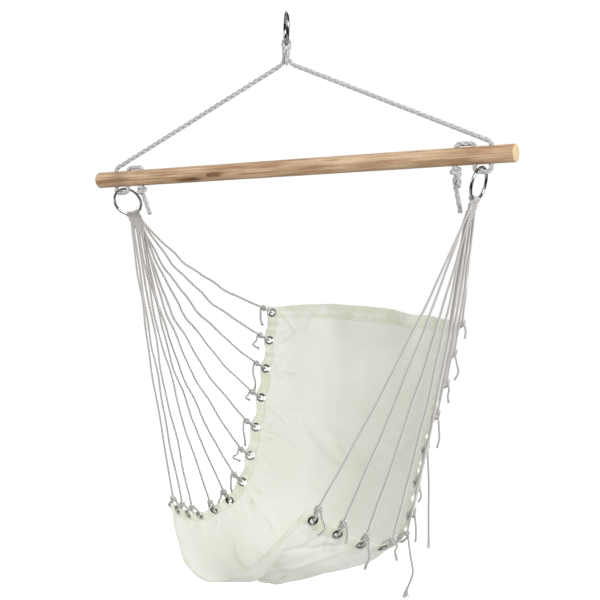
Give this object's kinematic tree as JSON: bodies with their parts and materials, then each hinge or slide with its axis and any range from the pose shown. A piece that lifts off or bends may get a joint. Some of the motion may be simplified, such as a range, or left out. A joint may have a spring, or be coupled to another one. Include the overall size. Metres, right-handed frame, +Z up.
{
  "type": "hammock chair",
  "caption": "Hanging hammock chair: cloth seat laced by cords through grommets to side rings under a wooden spreader bar on a rope and ring.",
  "frame": {"origin": "where a hook bears on the inside top of the hanging ring", "axes": "+Z up, X along the spreader bar, -Y towards the front of the seat"},
  "size_m": [1, 0.5242, 1.158],
  "materials": {
    "ring_steel": "polished",
    "grommet_nickel": "polished nickel",
    "bar_wood": "smooth, bare",
    "rope": "plaited cotton",
    "line": "twisted cotton",
    "seat_cloth": "cotton canvas"
  },
  "bodies": {
    "hanging_ring": {"hanging_ring": "ring_steel"},
    "hitch": {"top_hitch": "rope"},
    "bar": {"suspension_rope_left": "rope", "suspension_rope_right": "rope", "stopper_knot_left": "rope", "stopper_knot_right": "rope", "spreader_bar": "bar_wood"},
    "seat": {"side_ring_left": "ring_steel", "side_ring_right": "ring_steel", "clew_left": "line", "clew_right": "line", "seat_cloth": "seat_cloth", "line_left_01": "line", "line_left_02": "line", "line_left_03": "line", "line_left_04": "line", "line_left_05": "line", "line_left_06": "line", "line_left_07": "line", "line_left_08": "line", "line_left_09": "line", "line_left_10": "line", "line_left_11": "line", "line_left_12": "line", "line_right_01": "line", "line_right_02": "line", "line_right_03": "line", "line_right_04": "line", "line_right_05": "line", "line_right_06": "line", "line_right_07": "line", "line_right_08": "line", "line_right_09": "line", "line_right_10": "line", "line_right_11": "line", "line_right_12": "line", "grommet_left_01": "grommet_nickel", "grommet_left_02": "grommet_nickel", "grommet_left_03": "grommet_nickel", "grommet_left_04": "grommet_nickel", "grommet_left_05": "grommet_nickel", "grommet_left_06": "grommet_nickel", "grommet_left_07": "grommet_nickel", "grommet_left_08": "grommet_nickel", "grommet_left_09": "grommet_nickel", "grommet_left_10": "grommet_nickel", "grommet_left_11": "grommet_nickel", "grommet_left_12": "grommet_nickel", "grommet_right_01": "grommet_nickel", "grommet_right_02": "grommet_nickel", "grommet_right_03": "grommet_nickel", "grommet_right_04": "grommet_nickel", "grommet_right_05": "grommet_nickel", "grommet_right_06": "grommet_nickel", "grommet_right_07": "grommet_nickel", "grommet_right_08": "grommet_nickel", "grommet_right_09": "grommet_nickel", "grommet_right_10": "grommet_nickel", "grommet_right_11": "grommet_nickel", "grommet_right_12": "grommet_nickel"}
  },
  "joints": [
    {"name": "ring_swing", "type": "hinge", "parent": "hanging_ring", "child": "hitch", "pos_m": [0, 0, -0.029], "axis": [0.866, 0.5, 0], "range_deg": [-20, 20]},
    {"name": "bar_rock", "type": "hinge", "parent": "hitch", "child": "bar", "pos_m": [0, 0, -0.099], "axis": [0, 1, 0], "range_deg": [-10, 10]},
    {"name": "seat_swing", "type": "hinge", "parent": "bar", "child": "seat", "pos_m": [0, 0, -0.3517], "axis": [1, 0, 0], "range_deg": [-20, 20]}
  ]
}
